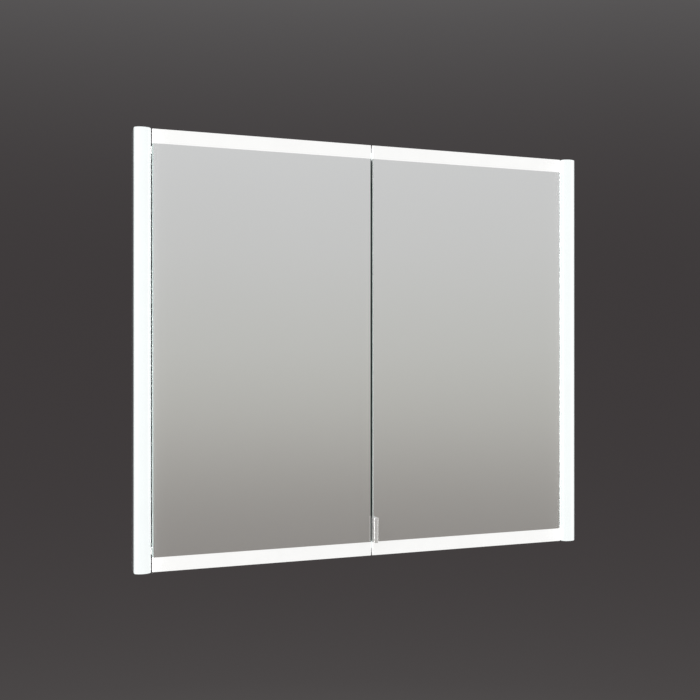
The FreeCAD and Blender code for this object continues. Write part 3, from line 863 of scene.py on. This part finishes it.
def bar_caps(side):
    """The two end caps of a side bar, opal in front of the channel and aluminium beside it."""
    step_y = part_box(f"{side}_bar_channel")[0].y
    for level, _ in LEVELS:
        node = f"{side}_bar_{level}_cap"
        cap = refined(node, f"{side}_{level}_end_cap", 0.5 * MM, 3, 40)
        split(cap, (0, step_y, 0), Y)
        paint(cap, finish("opal_acrylic"))
        paint(cap, finish("anodised"), lambda at, normal: at.y > step_y)
        fit(cap, node)


def lamp(at, along, way):
    """One lamp: a white frame, a lit face and its two solder joints."""
    across = way.cross(along)

    def part(name, shift, half_along, half_across, tall, colour, round_off):
        size = along * half_along + across * half_across
        size = Vector(map(abs, size))
        base = at + along * shift
        shape = slab(name, base - size, base + size + way * tall)
        choose_faces(shape, lambda centre, normal: normal.dot(way) > 0.9)
        bpy.ops.mesh.bevel(offset=round_off, segments=1, affect="EDGES")
        leave_edit()
        return paint(shape, finish(colour))

    frame_part = part("frame", 0, 1.75 * MM, 1.4 * MM, 0.7 * MM, "white_plastic", 0.15 * MM)
    face = part("face", 0, 1.25 * MM, 1.0 * MM, 0.78 * MM, "phosphor", 0.08 * MM)
    joints = [
        part("joint", shift, 0.35 * MM, 0.9 * MM, 0.25 * MM, "copper_pad", 0.08 * MM)
        for shift in (-2.1 * MM, 2.1 * MM)
    ]
    return join("lamp", [frame_part, face, *joints])


def lamp_strip(node, name, along):
    """A lamp strip: its board, the lamps at their pitch and resistors."""
    low, high, middle = corners(node)
    board = slab(name, low, high)
    soften(board, 0.15 * MM, 1)
    paint(board, finish("solder_mask"))
    pitch = bpy.context.scene.cabinet_light.lamp_pitch
    length = (high - low).dot(along)
    count = int((length - 10 * MM) / pitch)
    start = middle - along * pitch * (count - 1) / 2
    start.y = low.y
    first = lamp(start, along, -Y)
    resistor_size = along * 1.0 * MM + Y.cross(along) * 0.6 * MM
    resistor_size = Vector(map(abs, resistor_size))
    centre = start + along * pitch / 2
    resistor = slab("resistor", centre - resistor_size - Y * 0.5 * MM, centre + resistor_size)
    soften(resistor, 0.1 * MM, 1)
    paint(resistor, finish("dark_hollow"))
    parts = [board, first, resistor]
    for index in range(1, count):
        parts.append(repeat(first, along * pitch * index))
        if index % 3 == 0 and index < count - 1:
            parts.append(repeat(resistor, along * pitch * index))
    strip = join(name, parts)
    return fit(strip, node)


def band_light(level):
    """The light behind a frosted band: its channel and its opal cover."""
    dressed(f"{level}_light_channel", f"{level}_band_extrusion", "anodised_across", 0.3 * MM)
    dressed(f"{level}_light_diffuser", f"{level}_band_cover", "opal_acrylic", 0.5 * MM, 3)


def board(node, name):
    """A lacquered board with eased edges."""
    return dressed(node, name, "lacquer", 0.6 * MM, 2, 40)


SHELF_CORNER = 4 * MM


def shelf(node):
    """A glass shelf with polished edges."""
    low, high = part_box(node)
    piece = slab(f"{node}_glass", low, high)
    bevel_edges(piece, lambda at, way: abs(way.z) > 0.9 and at.y < low.y + NEAR, SHELF_CORNER, 5)
    soften(piece, 0.5 * MM, 2)
    paint(piece, finish("shelf_glass"))
    paint(piece, finish("polished_edge"), lambda at, way: abs(way.z) < 0.3)
    return fit(piece, node)


def pivot(side, level):
    """One pivot bracket."""
    return dressed(f"{side}_{level}_bracket", f"{side}_{level}_pivot_arm", "brushed_steel", 0.4 * MM, 2, 40)


def outer_x(low, high, sign, radius):
    """Where a round head of one side touches the outer end of its set's box."""
    return high.x - radius if sign > 0 else low.x + radius


def pivot_pins():
    """The pins' domed, cross-recessed heads and their shanks."""
    low, high, middle = corners("pivot_pins")
    radius, rise, shank_radius, shank_length = 3.4 * MM, 1.2 * MM, 2 * MM, 19.5 * MM
    parts = []
    for _, sign in SIDES:
        for _, way in LEVELS:
            tip = high.z if way > 0 else low.z
            seat = Vector((outer_x(low, high, sign, radius), middle.y, tip - way * rise))
            parts.append(cross_head("head", seat, Z * way, radius, rise))
            shank = column("shank", shank_radius, seat - Z * way * shank_length, seat, 32)
            parts.append(soften(shank, 0.3 * MM, 2, 50))
    return assembled("pivot_pins", "pivot_pin_set", "brushed_steel", parts)


def bracket_screws():
    """Two screws through each pivot bracket."""
    low, high, middle = corners("bracket_screws")
    parts = []
    for _, sign in SIDES:
        outer = outer_x(low, high, sign, SCREW_RADIUS)
        for _, way in LEVELS:
            seat_z = (high.z if way > 0 else low.z) - way * SCREW_RISE
            for x in (outer, outer - sign * BRACKET_SCREW_GAP):
                seat = Vector((x, middle.y, seat_z))
                parts.append(cross_head("head", seat, Z * way, SCREW_RADIUS, SCREW_RISE))
    return assembled("bracket_screws", "bracket_screw_heads", "brushed_steel", parts)


def bar_screws():
    """Three screws through each bar's channel."""
    low, high, middle = corners("bar_screws")
    parts = [
        cross_head("head", Vector((x, low.y + SCREW_RISE, z)), -Y, SCREW_RADIUS, SCREW_RISE)
        for x in (low.x + SCREW_RADIUS, high.x - SCREW_RADIUS)
        for z in (low.z + SCREW_RADIUS, middle.z, high.z - SCREW_RADIUS)
    ]
    return assembled("bar_screws", "bar_screw_heads", "brushed_steel", parts)


def catch(side):
    """A magnetic catch: a moulded body with two steel pole plates and its screws."""
    node = f"{side}_catch"
    low, high, middle = corners(node)
    body = slab(f"{side}_magnet_body", low, high)
    soften(body, 0.8 * MM, 3)
    paint(body, finish("grey_plastic"))
    pole_inset, pole_shift, pole_half, proud = 5 * MM, 2 * MM, 0.7 * MM, 0.1 * MM
    fittings = []
    for z in (middle.z - pole_shift, middle.z + pole_shift):
        pole = slab(
            "pole",
            (low.x + pole_inset, low.y - proud, z - pole_half),
            (high.x - pole_inset, low.y + 2 * MM, z + pole_half),
        )
        fittings.append(soften(pole, 0.1 * MM, 1))
    for x in (low.x + 6 * MM, high.x - 6 * MM):
        fittings.append(cross_head("head", Vector((x, middle.y + 4 * MM, low.z)), -Z, 2 * MM, 1 * MM))
    for fitting in fittings:
        paint(fitting, finish("brushed_steel"))
    return fit(join(body.name, [body, *fittings]), node)


def strike(side):
    """The steel plate on a door that its magnet holds."""
    node = f"{side}_strike"
    plate = slab(f"{side}_strike_plate", *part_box(node))
    bevel_edges(plate, lambda at, way: abs(way.y) > 0.9, 2.5 * MM, 4)
    soften(plate, 0.2 * MM, 2)
    paint(plate, finish("brushed_steel"))
    return fit(plate, node)


def bumpers(side):
    """Small domed bumpers on the back of a door."""
    node = f"{side}_door_bumpers"
    low, high, middle = corners(node)
    radius = (high.x - low.x) / 2
    parts = []
    for z in (low.z + radius, high.z - radius):
        stud = column("stud", radius, (middle.x, low.y, z), (middle.x, high.y, z), 40)
        bevel_edges(stud, lambda at, way: at.y > high.y - NEAR, 2.6 * MM, 6)
        parts.append(smooth(stud, 40))
    return assembled(node, f"{side}_bumper_studs", "clear_rubber", parts)


def socket():
    """The recessed outlet: plate, well, contact holes, earth springs and centre screw."""
    node = "socket_outlet"
    low, high, middle = corners(node)
    body = refined(node, "socket_body", 0.5 * MM, 3, 40)
    paint(body, finish("white_plastic"))
    well_depth, contact_reach, margin = 17.5 * MM, 15 * MM, 0.3 * MM
    spring_shift, spring_half_width, spring_half_thickness = 18.2 * MM, 2 * MM, 0.5 * MM
    floor_y = low.y + well_depth

    def in_shaded_holes(at, way):
        near = math.hypot(at.x - middle.x, at.z - middle.z) < contact_reach
        return near and floor_y + margin < at.y < high.y - margin

    # painted shade: the insides of the contact holes are painted near-black
    paint(body, finish("dark_hollow"), in_shaded_holes)
    parts = [body]
    for way in (1, -1):
        z = middle.z + way * spring_shift
        spring = slab(
            "spring",
            (middle.x - spring_half_width, low.y + 4 * MM, z - spring_half_thickness),
            (middle.x + spring_half_width, floor_y, z + spring_half_thickness),
        )
        bevel_edges(spring, lambda at, normal: at.y < low.y + 5 * MM and abs(normal.x) > 0.9, 0.4 * MM, 3)
        parts.append(paint(soften(spring, 0.1 * MM, 1), finish("brushed_steel")))
    screw = cross_head("screw", Vector((middle.x, floor_y, middle.z)), -Y, 2.4 * MM, 1.2 * MM)
    parts.append(paint(screw, finish("brushed_steel")))
    return fit(join("socket_body", parts), node)


def switch():
    """The push switch: its bezel, and a button with a dished face."""
    dressed("switch_bezel", "switch_ring", "chrome_plate", 0.5 * MM, 3, 40)
    low, high, middle = corners("switch_button")
    radius = (high.x - low.x) / 2
    button = column("switch_cap", radius, (middle.x, high.y, middle.z), (middle.x, low.y, middle.z), 64)
    dish = 0.5 * MM
    sink_face(button, lambda at, way: way.y < -0.99, 2.2 * MM, Y * dish)
    sink_face(
        button, lambda at, way: way.y < -0.99 and abs(at.y - low.y - dish) < 0.1 * MM,
        0.9 * MM, Y * 0.2 * MM,
    )
    soften(button, 0.25 * MM, 3, 40)
    paint(button, finish("white_plastic"))
    return fit(button, "switch_button")


def grommet():
    """The cable bush."""
    return dressed("cable_grommet", "cable_bush", "soft_rubber", 0.6 * MM, 3, 40)


def caps():
    """Domed chrome caps over the wall fixings."""
    low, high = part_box("fixing_caps")
    radius, plug_radius, thickness = 8 * MM, 6.8 * MM, 2 * MM
    front = low.y
    seat = low.y + thickness
    parts = []
    for x in (low.x + radius, high.x - radius):
        for z in (low.z + radius, high.z - radius):
            cap = column("cap", radius, (x, seat, z), (x, front, z), 56)
            bevel_edges(cap, lambda at, way: at.y < front + NEAR, 1.4 * MM, 6)
            plug = column("plug", plug_radius, (x, seat, z), (x, high.y, z), 40)
            parts += [smooth(cap, 40), smooth(plug, 40)]
    return assembled("fixing_caps", "fixing_cap_set", "chrome_plate", parts)


# ---------------------------------------------------------------- stage


# how bright the studio is by the height of a direction, from straight down (-1) to straight up (1)
STUDIO_FRONT = (
    (-1.0, (0.33, 0.32, 0.31)),
    (-0.35, (0.27, 0.255, 0.24)),
    (-0.21, (0.26, 0.243, 0.231)),
    (-0.14, (0.337, 0.322, 0.303)),
    (-0.07, (0.467, 0.457, 0.433)),
    (0.0, (0.535, 0.535, 0.512)),
    (0.10, (0.597, 0.597, 0.593)),
    (0.24, (0.66, 0.665, 0.675)),
    (1.0, (0.90, 0.90, 0.90)),
)
STUDIO_BACK = (
    (-1.0, (0.33, 0.32, 0.31)),
    (-0.50, (0.16, 0.155, 0.15)),
    (-0.32, (0.052, 0.046, 0.047)),
    (0.0, (0.048, 0.042, 0.043)),
    (0.32, (0.050, 0.045, 0.046)),
    (0.60, (0.30, 0.30, 0.30)),
    (1.0, (0.70, 0.70, 0.70)),
)


def world_light():
    """A soft studio: pale above, falling away below eye level in front, and darker behind the cabinet."""
    world = bpy.data.worlds.new("studio")
    bpy.context.scene.world = world
    world.use_nodes = True
    tree = world.node_tree
    direction = tree.nodes.new("ShaderNodeTexCoord").outputs["Generated"]
    parts = tree.nodes.new("ShaderNodeSeparateXYZ")
    link(tree, direction, parts, "Vector")

    def ramp(stops):
        node = tree.nodes.new("ShaderNodeValToRGB")
        node.color_ramp.interpolation = "B_SPLINE"
        elements = node.color_ramp.elements
        while len(elements) < len(stops):
            elements.new(0.5)
        for element, (rise, colour) in zip(elements, stops):
            element.position = 0.5 + rise / 2
            element.color = (*colour, 1)
        link(tree, shift.outputs["Value"], node, "Fac")
        return node.outputs["Color"]

    shift = tree.nodes.new("ShaderNodeMath")
    shift.operation = "MULTIPLY_ADD"
    shift.inputs[1].default_value = 0.5
    shift.inputs[2].default_value = 0.5
    link(tree, parts.outputs["Z"], shift, 0)
    ahead = ramp(STUDIO_FRONT)
    behind = ramp(STUDIO_BACK)
    side = tree.nodes.new("ShaderNodeMapRange")
    side.interpolation_type = "SMOOTHSTEP"
    put(side, from_min=-0.75, from_max=0.80)
    link(tree, parts.outputs["Y"], side, "Value")
    mix = tree.nodes.new("ShaderNodeMix")
    mix.data_type = "RGBA"
    link(tree, side.outputs["Result"], mix, "Factor")
    link(tree, ahead, mix, "A")
    link(tree, behind, mix, "B")
    link(tree, mix.outputs["Result"], tree.nodes["Background"], "Color")


def pale_floor(tree, shader):
    """A pale, slightly mottled studio floor."""
    mottle = grain(tree, 3, detail=4)
    surface(tree, shader, mottle, setting("cabinet_stage", "floor_colour"), 0.02, roughness=0.7)


MAKERS["pale_floor"] = pale_floor


def soft_box(name, place, target, size, power):
    """A soft light aimed at a point. Its size is its width and height."""
    data = bpy.data.lights.new(name, "AREA")
    data.shape = "RECTANGLE"
    data.size, data.size_y = size
    data.energy = power
    light = bpy.data.objects.new(name, data)
    bpy.context.scene.collection.objects.link(light)
    light.location = place
    light.rotation_euler = (Vector(target) - Vector(place)).to_track_quat("-Z", "Y").to_euler()
    return light


def bar_spill(side, sign):
    """The light that a side bar throws on the mirror beside it, and into the gap between them."""
    lamps = bpy.context.scene.cabinet_light
    low, high, middle = corners(f"{side}_bar_diffuser")
    door_low, door_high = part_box(f"{side}_front_mirror")
    flank_x = low.x if sign > 0 else high.x
    edge_x = door_high.x if sign > 0 else door_low.x
    height = high.z - low.z
    place = Vector((flank_x - sign * 0.2 * MM, middle.y, middle.z))
    across = soft_box(
        f"{side}_bar_spill", place, place - X * sign, (high.y - low.y, height), lamps.spill
    )
    place = Vector(((flank_x + edge_x) / 2, door_high.y, middle.z))
    inwards = soft_box(
        f"{side}_gap_spill", place, place + Y, (abs(flank_x - edge_x), height), lamps.gap_spill
    )
    for light in (across, inwards):
        light.visible_camera = False
        light.visible_glossy = False


def make_stage():
    stage = bpy.context.scene.cabinet_stage
    world_light()
    deselect()
    bpy.ops.mesh.primitive_circle_add(
        vertices=128, radius=stage.floor_radius, fill_type="NGON", location=(0, 0, -stage.floor_drop)
    )
    floor = settle(bpy.context.object, "floor")
    paint(floor, finish("pale_floor"))
    middle = (0, -0.08, 0)
    for light in (
        soft_box("key_light", (-1.6, -1.2, 2.4), middle, (1.6, 1.6), 16),
        soft_box("rear_light", (1.2, 2.2, 2.2), middle, (1.8, 1.8), 24),
    ):
        light.visible_glossy = False
    soft_box("left_light", (-2.8, -1.3, 0.1), middle, (0.7, 2.0), 26)
    soft_box("right_light", (2.8, -1.5, 0.1), middle, (0.7, 2.0), 20)
    for side, sign in SIDES:
        bar_spill(side, sign)
    camera_data = bpy.data.cameras.new("camera")
    camera = bpy.data.objects.new("camera", camera_data)
    bpy.context.scene.collection.objects.link(camera)
    face_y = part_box("left_front_mirror")[0].y
    camera.location = Vector(stage.camera_place) + Y * face_y
    camera.rotation_euler = (math.radians(90), 0, -stage.camera_turn)
    camera_data.lens = stage.lens
    camera_data.sensor_width = 36
    bpy.context.scene.camera = camera
    bpy.context.scene.view_settings.view_transform = "Standard"


# ---------------------------------------------------------------- operators


class CabinetOperator:
    """What every piece's operator shares."""

    bl_options = {"REGISTER", "UNDO"}

    def execute(self, context):
        self.make()
        return {"FINISHED"}


class CABINET_OT_stage(CabinetOperator, bpy.types.Operator):
    """Makes the floor, the studio light and the camera"""

    bl_idname = "cabinet.stage"
    bl_label = "Stage"

    def make(self):
        make_stage()


class CABINET_OT_front_mirrors(CabinetOperator, bpy.types.Operator):
    """Makes the front panes of both doors"""

    bl_idname = "cabinet.front_mirrors"
    bl_label = "Front mirrors"

    def make(self):
        for side, _ in SIDES:
            front_mirror(side)


class CABINET_OT_door_insides(CabinetOperator, bpy.types.Operator):
    """Makes the cores, inner mirrors, bushes, strikes and bumpers of both doors"""

    bl_idname = "cabinet.door_insides"
    bl_label = "Door insides"

    def make(self):
        for side, _ in SIDES:
            dressed(f"{side}_door_core", f"{side}_core_board", "edge_banding", 0.3 * MM, 1)
            dressed(f"{side}_door_bushes", f"{side}_pivot_bushes", "grey_plastic", 0.1 * MM, 1)
            inner_mirror(side)
            strike(side)
            bumpers(side)


class CABINET_OT_handle(CabinetOperator, bpy.types.Operator):
    """Makes the handle and its screws"""

    bl_idname = "cabinet.handle"
    bl_label = "Handle"

    def make(self):
        handle()


class CABINET_OT_side_bars(CabinetOperator, bpy.types.Operator):
    """Makes the covers, channels, end caps and screws of the side bars"""

    bl_idname = "cabinet.side_bars"
    bl_label = "Side bars"

    def make(self):
        for side, _ in SIDES:
            bar_cover(side)
            bar_channel(side)
            bar_caps(side)
        bar_screws()


class CABINET_OT_band_lights(CabinetOperator, bpy.types.Operator):
    """Makes the lights behind the frosted bands"""

    bl_idname = "cabinet.band_lights"
    bl_label = "Band lights"

    def make(self):
        for level, _ in LEVELS:
            band_light(level)


class CABINET_OT_lamp_strips(CabinetOperator, bpy.types.Operator):
    """Makes the four lamp strips"""

    bl_idname = "cabinet.lamp_strips"
    bl_label = "Lamp strips"

    def make(self):
        for side, _ in SIDES:
            lamp_strip(f"{side}_bar_led_strip", f"{side}_lamp_strip", Z)
        for level, _ in LEVELS:
            lamp_strip(f"{level}_led_strip", f"{level}_lamp_strip", X)


class CABINET_OT_boards(CabinetOperator, bpy.types.Operator):
    """Makes the lacquered boards of the carcass"""

    bl_idname = "cabinet.boards"
    bl_label = "Boards"

    def make(self):
        for node in ("left_side_panel", "right_side_panel", "top_panel", "bottom_panel"):
            board(node, f"{node}_board")
        board("centre_partition", "partition_board")
        board("back_panel", "back_board")


class CABINET_OT_back_mirrors(CabinetOperator, bpy.types.Operator):
    """Makes the mirrors at the back and the caps over the fixings"""

    bl_idname = "cabinet.back_mirrors"
    bl_label = "Back mirrors"

    def make(self):
        for side, _ in SIDES:
            back_mirror(side)
        caps()


class CABINET_OT_shelves(CabinetOperator, bpy.types.Operator):
    """Makes the glass shelves and their pins"""

    bl_idname = "cabinet.shelves"
    bl_label = "Shelves"

    def make(self):
        for side, _ in SIDES:
            for height in ("lower", "upper"):
                shelf(f"{side}_{height}_shelf")
        dressed("shelf_pins", "shelf_pin_set", "chrome_plate", 0.3 * MM, 2, 40)


class CABINET_OT_pivots(CabinetOperator, bpy.types.Operator):
    """Makes the pivot brackets, pins and screws"""

    bl_idname = "cabinet.pivots"
    bl_label = "Pivots"

    def make(self):
        for side, _ in SIDES:
            for level, _ in LEVELS:
                pivot(side, level)
        pivot_pins()
        bracket_screws()


class CABINET_OT_catches(CabinetOperator, bpy.types.Operator):
    """Makes the magnetic catches"""

    bl_idname = "cabinet.catches"
    bl_label = "Catches"

    def make(self):
        for side, _ in SIDES:
            catch(side)


class CABINET_OT_power_box(CabinetOperator, bpy.types.Operator):
    """Makes the power cover, driver, terminals, socket, switch and cable bush"""

    bl_idname = "cabinet.power_box"
    bl_label = "Power box"

    def make(self):
        dressed("power_cover", "power_box_cover", "white_plastic", 0.8 * MM, 3)
        dressed("led_driver", "driver_case", "white_plastic", 1.2 * MM, 3)
        dressed("terminal_block", "terminal_row", "grey_plastic", 0.6 * MM)
        socket()
        switch()
        grommet()


PIECE_OPERATORS = (
    CABINET_OT_stage,
    CABINET_OT_front_mirrors,
    CABINET_OT_door_insides,
    CABINET_OT_handle,
    CABINET_OT_side_bars,
    CABINET_OT_band_lights,
    CABINET_OT_lamp_strips,
    CABINET_OT_boards,
    CABINET_OT_back_mirrors,
    CABINET_OT_shelves,
    CABINET_OT_pivots,
    CABINET_OT_catches,
    CABINET_OT_power_box,
)


class CABINET_PT_panel(bpy.types.Panel):
    """Lists the settings and the pieces"""

    bl_idname = "CABINET_PT_panel"
    bl_label = "Mirror cabinet"
    bl_space_type = "VIEW_3D"
    bl_region_type = "UI"
    bl_category = "Cabinet"

    def draw(self, context):
        for name, group in GROUPS.items():
            box = self.layout.box()
            settings = getattr(context.scene, name)
            for key in group.__annotations__:
                box.prop(settings, key)
        for operator in PIECE_OPERATORS:
            self.layout.operator(operator.bl_idname)


def register():
    for group in (*GROUPS.values(), *PIECE_OPERATORS, CABINET_PT_panel):
        bpy.utils.register_class(group)
    for name, group in GROUPS.items():
        setattr(bpy.types.Scene, name, bpy.props.PointerProperty(type=group))


def unregister():
    for name in GROUPS:
        delattr(bpy.types.Scene, name)
    for group in (CABINET_PT_panel, *reversed(PIECE_OPERATORS), *reversed(GROUPS.values())):
        bpy.utils.unregister_class(group)


def main():
    register()
    for operator in PIECE_OPERATORS:
        space, name = operator.bl_idname.split(".")
        getattr(getattr(bpy.ops, space), name)()


if __name__ == "__main__":
    main()
